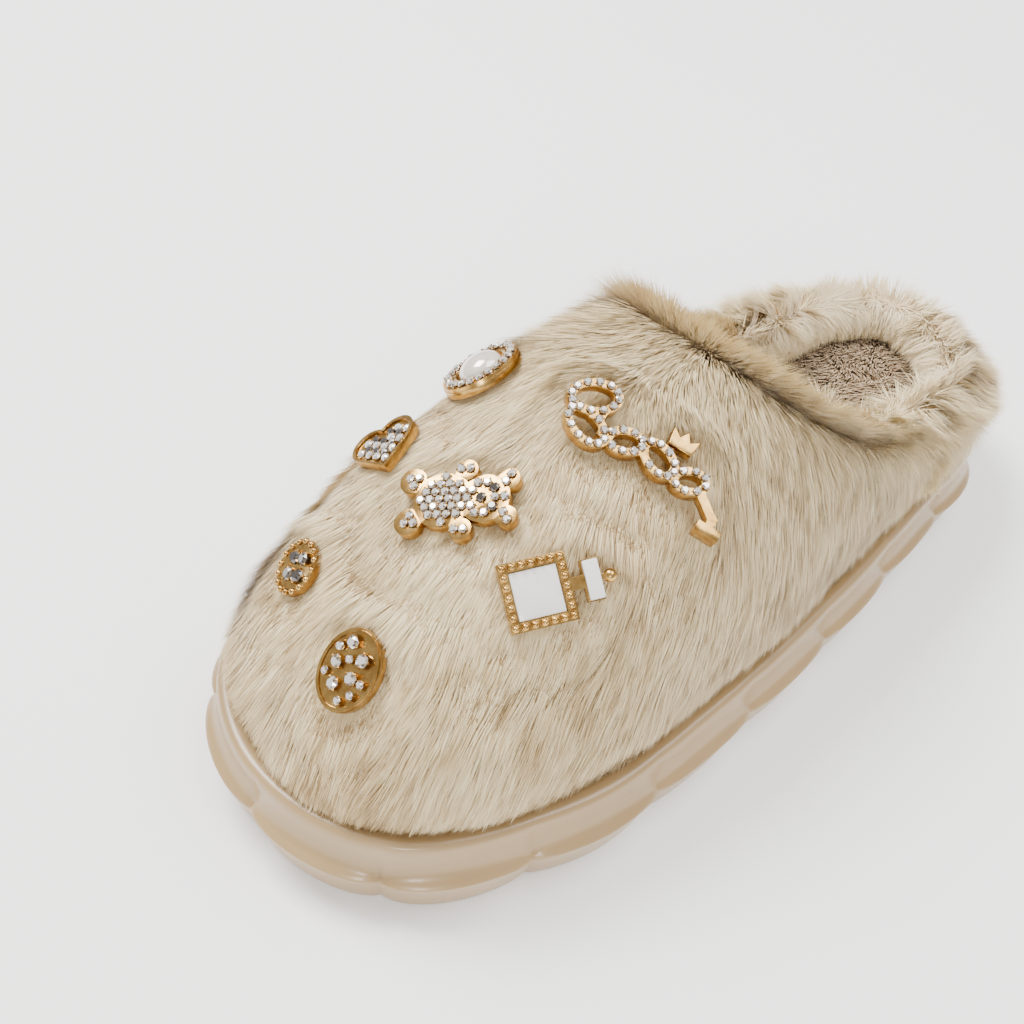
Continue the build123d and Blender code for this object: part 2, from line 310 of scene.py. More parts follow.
@dataclass(frozen=True)
class PaintedFacetFinish:
    """A cut stone whose facets are painted bright, dark and middle shades: painted reflections of the light
    that each facet would send back.
    """

    name: str
    shades: tuple[Colour, ...]
    metallic: float = 0.5

    def materials(self) -> list[bpy.types.Material]:
        """Builds one glossy material per facet shade, each shade a painted reflection.

        Returns:
            The materials, in the order of the shades.
        """
        return [PlainFinish(f"{self.name}_{i + 1}", shade, 0.07, metallic=self.metallic, specular=0.9,
                            coat=1.0).material() for i, shade in enumerate(self.shades)]


# Each stone's shades are painted reflections: a bright, a dark and a middle facet shade.
CLEAR_STONE = PaintedFacetFinish("clear_stone", ((0.82, 0.78, 0.73, 1), (0.13, 0.09, 0.06, 1), (0.48, 0.41, 0.33, 1)))
BLACK_STONE = PaintedFacetFinish("black_stone", ((0.030, 0.022, 0.018, 1), (0.006, 0.005, 0.005, 1),
                                        (0.10, 0.075, 0.06, 1)), 0.0)
WHITE_STONE = PaintedFacetFinish("white_stone", ((0.92, 0.91, 0.88, 1), (0.55, 0.52, 0.47, 1), (0.78, 0.76, 0.72, 1)))


@dataclass(frozen=True)
class FurShades:
    """The shades of one pile, from the dark roots to the palest tips."""

    name: str
    shades: tuple[Colour, ...]
    steps: tuple[float, ...]

    def materials(self) -> list[bpy.types.Material]:
        """Builds one even material per shade.

        Returns:
            The materials, darkest first.
        """
        return [PlainFinish(f"{self.name}_{i + 1}", shade, 0.62, sheen=0.25, specular=0.25).material()
                for i, shade in enumerate(self.shades)]


LONG_FUR = FurShades("fur", ((0.34, 0.205, 0.085, 1), (0.49, 0.33, 0.150, 1), (0.63, 0.46, 0.235, 1),
                             (0.75, 0.58, 0.320, 1), (0.85, 0.71, 0.430, 1)), (0.27, 0.41, 0.54, 0.68))
FOOTBED_FUR = FurShades("footbed", ((0.36, 0.235, 0.135, 1), (0.49, 0.34, 0.205, 1), (0.61, 0.45, 0.285, 1),
                                    (0.70, 0.54, 0.360, 1)), (0.26, 0.44, 0.64))
LINING_FUR = FurShades("lining", ((0.52, 0.36, 0.185, 1), (0.67, 0.50, 0.285, 1), (0.80, 0.63, 0.385, 1),
                                  (0.88, 0.75, 0.500, 1)), (0.20, 0.36, 0.54))


# ---- pile ---------------------------------------------------------------------------------------
GROUND = ("comb", "pile", "rise", "thick", "shade")


def mark_ground(mesh: bpy.types.Mesh, comb: np.ndarray, *values: np.ndarray) -> None:
    """Writes on a skin what its pile follows.

    Args:
        mesh: The skin.
        comb: Direction of the strands at each vertex.
        *values: The other fields of GROUND, in order, one number per vertex.
    """
    made = mesh.attributes.new("comb", "FLOAT_VECTOR", "POINT")
    made.data.foreach_set("vector", comb.astype(np.float32).ravel())
    for label, field_values in zip(GROUND[1:], values):
        made = mesh.attributes.new(label, "FLOAT", "POINT")
        made.data.foreach_set("value", field_values.astype(np.float32))


class Skin(Enum):
    """Which side of the padded upper a stretch of pile grows on."""

    OUTSIDE = 1
    INSIDE = 2


@dataclass
class StrandTree:
    """Geometry Nodes tree that plants curved strands over a surface, combed along its attributes.

    The surface carries "comb" (the direction), "pile" (relative length), "rise" (relative height of the
    strands), "thick" (relative density) and "shade" (how much paler or darker the strands are; on the upper
    it holds painted light and painted shade).
    """

    shades: FurShades
    strands: bpy.types.Collection
    comb_noise: float = 0.45
    fine_noise: float = 0.30

    def build(self) -> bpy.types.NodeTree:
        """Builds the tree.

        Returns:
            The finished node group.
        """
        tree = bpy.data.node_groups.new(f"{self.shades.name}_strands", "GeometryNodeTree")
        face = tree.interface
        face.new_socket("Geometry", in_out="INPUT", socket_type="NodeSocketGeometry")
        for label in ("Density", "Length", "Width"):
            face.new_socket(label, in_out="INPUT", socket_type="NodeSocketFloat")
        face.new_socket("Seed", in_out="INPUT", socket_type="NodeSocketInt")
        face.new_socket("Geometry", in_out="OUTPUT", socket_type="NodeSocketGeometry")
        add, join = tree.nodes.new, tree.links.new

        def node(kind: str, **settings: object) -> bpy.types.Node:
            """Adds a node with its properties set."""
            made = add(kind)
            for key, value in settings.items():
                setattr(made, key, value)
            return made

        def named(label: str, kind: str) -> bpy.types.NodeSocket:
            """Reads a named attribute."""
            made = node("GeometryNodeInputNamedAttribute", data_type=kind)
            made.inputs["Name"].default_value = label
            return made.outputs["Attribute"]

        def maths(operation: str, a: object, b: object) -> bpy.types.NodeSocket:
            """Joins two numbers or sockets by an operation."""
            made = node("ShaderNodeMath", operation=operation)
            for socket, value in zip(made.inputs, (a, b)):
                if isinstance(value, bpy.types.NodeSocket):
                    join(value, socket)
                else:
                    socket.default_value = value
            return made.outputs["Value"]

        def drift(scale: float, amount: float) -> bpy.types.NodeSocket:
            """A slow random vector over the surface."""
            cloud = node("ShaderNodeTexNoise")
            cloud.inputs["Scale"].default_value = scale
            cloud.inputs["Detail"].default_value = 1.0
            centred = node("ShaderNodeVectorMath", operation="SUBTRACT")
            join(cloud.outputs["Color"], centred.inputs[0])
            centred.inputs[1].default_value = (0.5, 0.5, 0.5)
            sized = node("ShaderNodeVectorMath", operation="SCALE")
            join(centred.outputs["Vector"], sized.inputs[0])
            sized.inputs["Scale"].default_value = 2 * amount
            return sized.outputs["Vector"]

        def added(a: bpy.types.NodeSocket, b: bpy.types.NodeSocket) -> bpy.types.NodeSocket:
            """Adds two vectors."""
            made = node("ShaderNodeVectorMath", operation="ADD")
            join(a, made.inputs[0])
            join(b, made.inputs[1])
            return made.outputs["Vector"]

        def random(low: float, high: float, offset: int) -> bpy.types.NodeSocket:
            """A random number per point."""
            made = node("FunctionNodeRandomValue", data_type="FLOAT")
            made.inputs[2].default_value = low
            made.inputs[3].default_value = high
            join(maths("ADD", start.outputs["Seed"], offset), made.inputs["Seed"])
            return made.outputs[1]

        start = node("NodeGroupInput")
        scatter = node("GeometryNodeDistributePointsOnFaces")
        join(start.outputs["Geometry"], scatter.inputs["Mesh"])
        join(maths("MULTIPLY", start.outputs["Density"], named("thick", "FLOAT")), scatter.inputs["Density"])
        join(start.outputs["Seed"], scatter.inputs["Seed"])

        comb = added(named("comb", "FLOAT_VECTOR"), drift(75.0, self.comb_noise))
        comb = added(comb, drift(420.0, self.fine_noise))
        upright = node("FunctionNodeAlignRotationToVector", axis="Z")
        join(scatter.outputs["Normal"], upright.inputs["Vector"])
        turned = node("FunctionNodeAlignRotationToVector", axis="X", pivot_axis="Z")
        join(upright.outputs["Rotation"], turned.inputs["Rotation"])
        join(comb, turned.inputs["Vector"])

        clump = node("ShaderNodeTexNoise")
        clump.inputs["Scale"].default_value = 260.0
        clump.inputs["Detail"].default_value = 2.0
        patch = node("ShaderNodeTexNoise")
        patch.inputs["Scale"].default_value = 55.0
        patch.inputs["Detail"].default_value = 2.0
        length = maths("MULTIPLY", named("pile", "FLOAT"), start.outputs["Length"])
        uneven = maths("ADD", random(0.62, 0.92, 1), maths("MULTIPLY", clump.outputs["Fac"], 0.45))
        length = maths("MULTIPLY", length, uneven)
        width = maths("MULTIPLY", start.outputs["Width"], random(0.7, 1.25, 2))
        size = node("ShaderNodeCombineXYZ")
        join(length, size.inputs["X"])
        join(width, size.inputs["Y"])
        join(maths("MULTIPLY", length, named("rise", "FLOAT")), size.inputs["Z"])

        kit = node("GeometryNodeCollectionInfo")
        kit.inputs["Collection"].default_value = self.strands
        kit.inputs["Separate Children"].default_value = True
        plant = node("GeometryNodeInstanceOnPoints")
        join(kit.outputs["Instances"], plant.inputs["Instance"])
        plant.inputs["Pick Instance"].default_value = True
        pick = node("FunctionNodeRandomValue", data_type="INT")
        pick.inputs[4].default_value = 0
        pick.inputs[5].default_value = len(self.strands.objects) - 1
        join(pick.outputs[2], plant.inputs["Instance Index"])
        join(turned.outputs["Rotation"], plant.inputs["Rotation"])
        join(size.outputs["Vector"], plant.inputs["Scale"])

        def keep(geometry: bpy.types.NodeSocket, label: str, kind: str,
                 value: bpy.types.NodeSocket) -> bpy.types.NodeSocket:
            """Stores a value on each point, so that it reaches the strand's own points."""
            made = node("GeometryNodeStoreNamedAttribute", data_type=kind, domain="POINT")
            made.inputs["Name"].default_value = label
            join(geometry, made.inputs["Geometry"])
            join(value, made.inputs["Value"])
            return made.outputs["Geometry"]

        broad = maths("MULTIPLY", patch.outputs["Fac"], 0.45)
        tone = maths("ADD", maths("MULTIPLY", clump.outputs["Fac"], 0.55), broad)
        tone = maths("ADD", maths("MULTIPLY", maths("SUBTRACT", tone, 0.5), 1.5), random(0.30, 0.66, 3))
        # Adds the skin's shade, which on the upper carries painted light and painted shade.
        tone = maths("ADD", tone, named("shade", "FLOAT"))
        points = keep(scatter.outputs["Points"], "skin_normal", "FLOAT_VECTOR", scatter.outputs["Normal"])
        points = keep(points, "tone", "FLOAT", tone)
        join(points, plant.inputs["Points"])

        real = node("GeometryNodeRealizeInstances")
        join(plant.outputs["Instances"], real.inputs["Geometry"])
        final = maths("ADD", named("tone", "FLOAT"), named("along", "FLOAT"))
        dressed = real.outputs["Geometry"]
        limits = (-9.0,) + self.shades.steps
        for limit, material in zip(limits, self.shades.materials()):
            paint = node("GeometryNodeSetMaterial")
            paint.inputs["Material"].default_value = material
            join(maths("GREATER_THAN", final, limit), paint.inputs["Selection"])
            join(dressed, paint.inputs["Geometry"])
            dressed = paint.outputs["Geometry"]
        end = node("NodeGroupOutput")
        join(dressed, end.inputs["Geometry"])
        return tree


@dataclass
class Pile:
    """A pile of strands over chosen faces of a skin, grown in pieces of limited size."""

    name: str
    shades: FurShades
    length: float
    width: float
    per_mm2: float
    heights: tuple[float, ...] = (0.22, 0.32, 0.42, 0.54)
    comb_noise: float = 0.45
    seed: int = 7
    most: int = 44000

    def strand_kit(self) -> bpy.types.Collection:
        """Makes the strands to plant: unit length, leaning along +X, each with its own rise.

        Returns:
            A collection that holds the strand objects.
        """
        kit = bpy.data.collections.new(f"{self.name}_kit")
        for i, rise in enumerate(self.heights):
            side = 0.06 * (-1) ** i
            bend = 0.62 * rise
            verts = [(0, -0.5, 0), (0, 0.5, 0), (0.42, -0.40 + side, bend), (0.42, 0.40 + side, bend),
                     (1.0, 2 * side, rise)]
            mesh = bpy.data.meshes.new(f"{self.name}_strand_{i}")
            mesh.from_pydata(verts, [], [(0, 2, 3, 1), (2, 4, 3)])
            along = mesh.attributes.new("along", "FLOAT", "FACE")
            along.data.foreach_set("value", [-0.16, 0.16])
            kit.objects.link(bpy.data.objects.new(mesh.name, mesh))
        return kit

    def bands(self, mesh: bpy.types.Mesh, chosen: np.ndarray) -> list[np.ndarray]:
        """Splits the chosen faces lengthwise into bands of about equal area.

        Args:
            mesh: The skin.
            chosen: Indices of the faces that grow pile.

        Returns:
            The face indices of each band.
        """
        areas = np.array([mesh.polygons[i].area for i in chosen])
        places = np.array([mesh.polygons[i].center.y for i in chosen])
        order = np.argsort(places)
        total = areas.sum() * 1e6 * self.per_mm2
        count = max(1, math.ceil(total / self.most))
        share = np.cumsum(areas[order]) / areas.sum()
        return [chosen[order[(share > k / count) & (share <= (k + 1) / count)]] for k in range(count)]

    def grow(self, skin: bpy.types.Object, chosen: np.ndarray) -> list[bpy.types.Object]:
        """Plants the strands over the chosen faces.

        Args:
            skin: Object whose mesh carries the comb, pile, thick and shade attributes.
            chosen: Indices of the faces that grow pile.

        Returns:
            The pieces of pile, each a plain mesh.
        """
        kit = self.strand_kit()
        tree = StrandTree(self.shades, kit, comb_noise=self.comb_noise).build()
        sockets = {item.name: item.identifier for item in tree.interface.items_tree if item.in_out == "INPUT"}
        pieces = []
        for number, faces in enumerate(self.bands(skin.data, chosen)):
            keep = set(faces.tolist())
            work = bmesh.new()
            work.from_mesh(skin.data)
            work.faces.ensure_lookup_table()
            spare = [face for face in work.faces if face.index not in keep]
            bmesh.ops.delete(work, geom=spare, context="FACES")
            ground = bpy.data.meshes.new(f"{self.name}_ground")
            work.to_mesh(ground)
            work.free()
            piece = link(bpy.data.objects.new(f"{self.name}_{number + 1}", ground))
            modifier = piece.modifiers.new("strands", "NODES")
            modifier.node_group = tree
            modifier[sockets["Density"]] = self.per_mm2 * 1e6
            modifier[sockets["Length"]] = self.length
            modifier[sockets["Width"]] = self.width
            modifier[sockets["Seed"]] = self.seed + number
            pieces.append(self.soften(baked(piece)))
        for strand in list(kit.objects):
            bpy.data.objects.remove(strand)
        bpy.data.collections.remove(kit)
        return pieces

    def soften(self, piece: bpy.types.Object) -> bpy.types.Object:
        """Turns each strand's shading most of the way to the skin below it, as a dense pile looks."""
        mesh = piece.data
        count = len(mesh.vertices)
        skin_normal = np.empty(3 * count, dtype=np.float32)
        mesh.attributes["skin_normal"].data.foreach_get("vector", skin_normal)
        own = normals(mesh)
        mixed = own * 0.28 + skin_normal.reshape(-1, 3) * 0.72
        mixed /= np.linalg.norm(mixed, axis=1)[:, None]
        mesh.shade_smooth()
        mesh.normals_split_custom_set_from_vertices(mixed.tolist())
        for label in ("skin_normal", "tone", "along", *GROUND):
            if label in mesh.attributes:
                mesh.attributes.remove(mesh.attributes[label])
        return piece


# ---- sole ---------------------------------------------------------------------------------------
@dataclass
class Sole:
    """One-piece moulded foam sole: scalloped side with a sharp ridge, rounded rim, cup and tread."""

    outline: tuple[tuple[float, float], ...] = (
        (-7.2, -137.5), (28.8, -126.5), (48.8, -87.5), (51.8, -44), (49.8, 9), (45.3, 55), (39.8, 96),
        (20.3, 127.5), (-4.2, 137.5), (-27.2, 130.5), (-41.7, 99), (-41.2, 57), (-42.2, 9),
        (-47.2, -45), (-51.7, -86), (-40.7, -122.5))
    lobes: int = 19
    around: int = 608
    ridge_z: float = 12.0
    floor_z: float = 14.0

    def plan(self) -> tuple[np.ndarray, np.ndarray]:
        """Smooth outline at even steps of its length.

        Returns:
            The points and the inward normals, in millimetres.
        """
        knots = np.array(self.outline, float)
        dense = []
        steps = np.linspace(0, 1, 60, endpoint=False)
        for i in range(len(knots)):
            a, b, c, d = (knots[(i + k) % len(knots)] for k in (-1, 0, 1, 2))
            s, e = np.linalg.norm(b - a) ** 0.5, np.linalg.norm(c - b) ** 0.5
            f = np.linalg.norm(d - c) ** 0.5
            t1 = (c - b) / e - (c - a) / (s + e) + (b - a) / s
            t2 = (d - c) / f - (d - b) / (e + f) + (c - b) / e
            t1, t2 = t1 * e, t2 * e
            for t in steps:
                dense.append((2 * t ** 3 - 3 * t ** 2 + 1) * b + (t ** 3 - 2 * t ** 2 + t) * t1
                             + (-2 * t ** 3 + 3 * t ** 2) * c + (t ** 3 - t ** 2) * t2)
        dense = np.array(dense)
        gaps = np.linalg.norm(np.roll(dense, -1, 0) - dense, axis=1)
        length = np.concatenate([[0], np.cumsum(gaps)])
        closed = np.vstack([dense, dense[:1]])
        even = np.linspace(0, length[-1], self.around, endpoint=False)
        points = np.stack([np.interp(even, length, closed[:, k]) for k in (0, 1)], axis=1)
        along = np.roll(points, -2, 0) - np.roll(points, 2, 0)
        along /= np.linalg.norm(along, axis=1)[:, None]
        return points, np.stack([-along[:, 1], along[:, 0]], axis=1)

    def profile(self) -> list[tuple[float, float, float]]:
        """Section from under the foot edge out over the ridge and the rim, down into the cup.

        Returns:
            Height, inset and share of the scallop at each level.
        """
        return [(0.0, 5.6, 0.6), (0.0, 4.6, 0.8), (0.25, 3.8, 0.9), (0.9, 3.2, 1.0), (2.2, 2.7, 1.0),
                (4.5, 2.1, 1.0), (7.5, 1.35, 1.0), (10.0, 0.75, 1.0), (11.3, 0.25, 1.0), (12.0, 0.0, 1.0),
                (12.5, 0.30, 1.0), (12.9, 1.0, 0.95), (13.4, 1.7, 0.85), (14.3, 2.45, 0.7), (15.6, 3.0, 0.5),
                (17.2, 3.3, 0.35), (18.8, 3.4, 0.25), (20.0, 3.45, 0.18), (20.9, 3.7, 0.12),
                (21.5, 4.15, 0.08),
                (21.9, 4.85, 0.04), (22.0, 5.6, 0.0), (21.95, 6.6, 0.0), (21.7, 7.5, 0.0), (21.2, 8.2, 0.0),
                (20.4, 8.6, 0.0), (18.0, 8.7, 0.0), (14.6, 8.75, 0.0), (14.0, 9.6, 0.0)]

    def build(self) -> bpy.types.Object:
        """Builds the sole as one closed mesh.

        Returns:
            The sole.
        """
        points, inward = self.plan()
        n = self.around
        t = np.arange(n) / n
        notch = 1.0 - np.abs(np.sin(np.pi * self.lobes * (t - 0.003))) ** 0.42
        spine = np.stack([np.full(n, -1.0), np.clip(points[:, 1], -88, 96)], axis=1)
        rings = []
        for share in (1.0, 0.8, 0.6, 0.4, 0.2):
            base = points + inward * 6.2
            ring = base + (spine - base) * (share * 0.98)
            rings.append(np.column_stack([ring, self.tread(ring)]))
        for z, inset, share in self.profile():
            ring = points + inward * (inset + 2.5 * share * notch)[:, None]
            lift = 1.5 * notch * np.exp(-((z - self.ridge_z) / 3.0) ** 2)
            rings.append(np.column_stack([ring, np.full(n, z) - lift]))
        for share in (0.3, 0.65, 0.98):
            base = points + inward * 9.8
            ring = base + (spine - base) * share
            rings.append(np.column_stack([ring, np.full(n, self.floor_z)]))
        verts = np.vstack(rings) * MM
        faces = []
        for r in range(len(rings) - 1):
            for i in range(n):
                j = (i + 1) % n
                faces.append((r * n + i, r * n + j, (r + 1) * n + j, (r + 1) * n + i))
        sole = mesh_object("sole", verts.tolist(), faces)
        work = bmesh.new()
        work.from_mesh(sole.data)
        bmesh.ops.remove_doubles(work, verts=work.verts, dist=0.00004)
        edges = [edge for edge in work.edges if edge.is_boundary]
        bmesh.ops.holes_fill(work, edges=edges, sides=0)
        bmesh.ops.triangulate(work, faces=[f for f in work.faces if len(f.verts) > 4])
        bmesh.ops.recalc_face_normals(work, faces=work.faces)
        work.to_mesh(sole.data)
        work.free()
        smooth(sole, 50)
        return sole

    def tread(self, ring: np.ndarray) -> np.ndarray:
        """Height of the underside: shallow waved grooves across the forefoot and the heel."""
        wave = ring[:, 1] + 2.2 * np.sin(ring[:, 0] / 6.5)
        groove = np.clip((np.cos(2 * np.pi * wave / 11.0) - 0.72) / 0.1, 0, 1)
        return np.where(np.abs(ring[:, 1] - 10) > 22, 1.1 * groove, 0.0)

    def dress(self, sole: bpy.types.Object) -> None:
        """Gives the sole its foam finish and its place in the frame."""
        sole.data.materials.append(EVA.material())
        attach(sole, "root")
        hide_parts("sole_unit")
        LOG.info("sole: %d faces", len(sole.data.polygons))


# ---- upper --------------------------------------------------------------------------------------
@dataclass
class CharmSeat:
    """A charm's name and the direction that it faces."""

    name: str
    outward: np.ndarray


def charm_seats() -> list[CharmSeat]:
    """Reads each charm's seat from its casting in the frame.

    Returns:
        One seat per charm.
    """
    seats = []
    for node in frame["nodes"]:
        if node.endswith("_casting"):
            name = node[: -len("_casting")]
            points = coordinates(frame["nodes"][node].data)
            thinnest = np.linalg.eigh(np.cov((points - points.mean(0)).T))[1][:, 0]
            seats.append(CharmSeat(name, thinnest * np.sign(thinnest[2])))
    return seats


def under_charms(points: np.ndarray, reach: float, fade: float) -> np.ndarray:
    """Weight of each point's nearness to a charm's metal: 1 close to it, 0 beyond the reach.

    Args:
        points: The places to test.
        reach: Distance at which the weight is 0.
        fade: Distance over which it rises to 1.

    Returns:
        One weight per point.
    """
    pressed = np.zeros(len(points))
    for node in frame["nodes"]:
        if node.endswith("_casting") or node.endswith("_crown"):
            metal = coordinates(frame["nodes"][node].data)
            low, high = metal.min(0) - reach, metal.max(0) + reach
            near = np.flatnonzero(((points > low) & (points < high)).all(1))
            for i in near:
                gap = np.sqrt(((metal - points[i]) ** 2).sum(1).min())
                pressed[i] = max(pressed[i], np.clip((reach - gap) / fade, 0, 1))
    return pressed


@dataclass
class PaddedUpper:
    """One padded part of the upper: a rounded skin with long fur outside and plush inside."""

    name: str
    nodes: tuple[str, ...]
    crown: tuple[float, float, float] = (-0.0082, -0.020, 0.0)
    voxel: float = 0.0022
    sink: float = 0.0022
    per_mm2: float = 12.0
    length: float = 0.0095
    roll: float = 0.0032
    plush: float = 0.0070
    plush_per_mm2: float = 4.0
    topline: tuple[tuple[float, float], ...] = ((-0.024, 0.095), (0.0, 0.0715), (0.02, 0.0605), (0.045, 0.05),
                                                (0.075, 0.0425), (0.105, 0.0375), (0.15, 0.0355))
    skin: bpy.types.Object = field(default=None)

    def build(self) -> bpy.types.Object:
        """Joins the CAD layers into one rounded, slightly uneven skin.

        Returns:
            The skin.
        """
        skin = merged_copy(f"{self.name}_skin", list(self.nodes))
        remesh = skin.modifiers.new("remesh", "REMESH")
        remesh.mode = "VOXEL"
        remesh.voxel_size = self.voxel
        relax = skin.modifiers.new("relax", "SMOOTH")
        relax.iterations = 6
        relax.factor = 0.5
        baked(skin)
        points = coordinates(skin.data)
        out = normals(skin.data)
        outside = self.faces_out(points, out)
        swell = (np.sin(points[:, 0] * 95 + 1.3) * np.sin(points[:, 1] * 71 + 0.4)
                 + 0.6 * np.sin(points[:, 1] * 143 + points[:, 2] * 120))
        above_cup = np.clip((points[:, 2] - 0.0265) / 0.006, 0, 1)
        roll = self.roll * np.exp(-(self.below_topline(points) / 0.013) ** 2) * above_cup
        depth = np.where(outside > 0, self.sink, 0.0004 - roll) - 0.0004 * swell
        depth = np.where(points[:, 2] < 0.0225, 0.0008, depth)
        depth -= under_charms(points, 0.012, 0.006) * np.where(outside > 0, self.sink - 0.0009, 0)
        set_coordinates(skin.data, points - out * depth[:, None])
        smooth(skin)
        self.skin = skin
        return skin

    def below_topline(self, points: np.ndarray) -> np.ndarray:
        """How far each point lies below the edge of the opening."""
        return np.interp(points[:, 1], *zip(*self.topline)) - points[:, 2]

    def faces_out(self, points: np.ndarray, out: np.ndarray) -> np.ndarray:
        """Positive where the skin faces away from the foot, negative where it faces the foot."""
        heart = np.column_stack([np.full(len(points), -0.002), np.clip(points[:, 1], -0.085, 0.095),
                                 np.full(len(points), 0.028)])
        return ((points - heart) * out).sum(1)

    def comb(self) -> None:
        """Writes the comb direction, length, thickness and shade of the pile on the skin; the shade holds
        painted shade low down and under the charms, and painted light on upward-facing skin.
        """
        mesh = self.skin.data
        points, out = coordinates(mesh), normals(mesh)
        toe = np.clip((points[:, 1] + 0.02) / -0.08, 0, 1)
        heel = np.clip((points[:, 1] - 0.03) / 0.08, 0, 1)
        flow = points - np.array(self.crown)
        flow[:, 1] = -0.040 - 0.020 * toe + 0.052 * heel
        flow[:, 2] = -0.022
        away = self.faces_out(points, out)
        flow[:, :2] *= np.where(away > 0, 1, -0.4)[:, None]
        flow -= out * (flow * out).sum(1)[:, None]
        flow /= np.linalg.norm(flow, axis=1)[:, None] + 1e-9
        pressed = under_charms(points, 0.0034, 0.0010)
        near = under_charms(points, 0.0105, 0.0045)
        low = np.clip((0.036 - points[:, 2]) / 0.012, 0, 1)
        rim = np.exp(-(self.below_topline(points) / 0.012) ** 2)
        pile = (1 - 0.60 * pressed) * (1 - 0.25 * near) * (1 - 0.62 * low) * (1 + 0.08 * rim)
        rise = (1 + np.where(away > 0, 0.25, -0.25) * rim) * (1 - 0.58 * near)
        thick = np.where(points[:, 2] < CUP_LINE, 0.0, 1.0) * (1 - 0.3 * pressed) * (1 + 0.70 * rim)
        # Painted shade: the strands darken towards the bottom of the upper, except along the opening.
        painted_low_shade = np.clip((0.046 - points[:, 2]) / 0.022, 0, 1) * (1 - rim)
        # Shade: the painted shade above, painted light on upward-facing skin, painted shade under the charms'
        # metal, and paler strands along the edge of the opening.
        shade = 0.02 - 0.16 * painted_low_shade + 0.05 * np.clip(out[:, 2], 0, 1) - 0.04 * pressed + 0.14 * rim
        mark_ground(mesh, flow, pile, rise, thick, shade)

    def faces(self, skin: Skin) -> np.ndarray:
        """Finds the faces above the cup on one side of the padded wall.

        Args:
            skin: The side wanted.

        Returns:
            Indices of the faces.
        """
        mesh = self.skin.data
        centres = np.array([tuple(p.center) for p in mesh.polygons])
        facing = np.array([tuple(p.normal) for p in mesh.polygons])
        outside = self.faces_out(centres, facing) > -0.002
        wanted = outside if skin is Skin.OUTSIDE else ~outside
        return np.flatnonzero(wanted & (centres[:, 2] > CUP_LINE))

    def fur(self) -> list[bpy.types.Object]:
        """Grows the long fur outside and the short plush inside.

        Returns:
            All the pieces of pile.
        """
        long_pile = Pile(f"{self.name}_fur", LONG_FUR, self.length, 0.00031, self.per_mm2, seed=11)
        plush = Pile(f"{self.name}_plush", LINING_FUR, self.plush, 0.00036, self.plush_per_mm2,
                     heights=(0.34, 0.46, 0.58), seed=23)
        return (long_pile.grow(self.skin, self.faces(Skin.OUTSIDE))
                + plush.grow(self.skin, self.faces(Skin.INSIDE)))

    def dress(self, pile: list[bpy.types.Object]) -> None:
        """Gives the skin its knit backing and sets every piece on the upper."""
        mesh = self.skin.data
        for label in GROUND:
            mesh.attributes.remove(mesh.attributes[label])
        mesh.materials.clear()
        mesh.materials.append(BACKING.material())
        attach(self.skin, "root")
        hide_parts(self.nodes[0], self.nodes[-1])
        for piece in pile:
            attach(piece, "root")
            LOG.info("%s: %d faces", piece.name, len(piece.data.polygons))


# ---- footbed ------------------------------------------------------------------------------------
@dataclass
class Footbed:
    """Soft footbed with a short taupe pile, dished under the heel."""

    voxel: float = 0.0013

    def build(self) -> bpy.types.Object:
        """Rounds and dishes the CAD cover.

        Returns:
            The cover.
        """
        cover = merged_copy("footbed_cover", ["footbed_plush"])
        remesh = cover.modifiers.new("remesh", "REMESH")
        remesh.mode = "VOXEL"
        remesh.voxel_size = self.voxel
        relax = cover.modifiers.new("relax", "SMOOTH")
        relax.iterations = 4
        baked(cover)
        points = coordinates(cover.data)
        top = points[:, 2] > 0.0238
        dish = 0.0008 * np.exp(-((points[:, 0]) / 0.022) ** 2 - ((points[:, 1] - 0.085) / 0.04) ** 2)
        points[:, 2] -= np.where(top, dish, 0)
        set_coordinates(cover.data, points)
        smooth(cover)
        return cover

    def dress(self, cover: bpy.types.Object) -> None:
        """Grows the pile on the upper face and sets the cover in the shoe."""
        mesh = cover.data
        count = len(mesh.vertices)
        flow = np.tile(np.array([0.25, -1.0, 0.0], dtype=np.float32), (count, 1))
        even = np.ones(count)
        mark_ground(mesh, flow, even, even, even, 0 * even)
        up = np.array([i for i, p in enumerate(mesh.polygons) if p.normal.z > 0.5])
        pieces = Pile("footbed_pile", FOOTBED_FUR, 0.0060, 0.0005, 3.2, heights=(0.35, 0.5, 0.65),
                      comb_noise=1.1, seed=31).grow(cover, up)
        for label in GROUND:
            mesh.attributes.remove(mesh.attributes[label])
        mesh.materials.clear()
        mesh.materials.append(BACKING.material())
        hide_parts("footbed_plush")
        for piece in [cover] + pieces:
            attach(piece, "root")
            LOG.info("%s: %d faces", piece.name, len(piece.data.polygons))


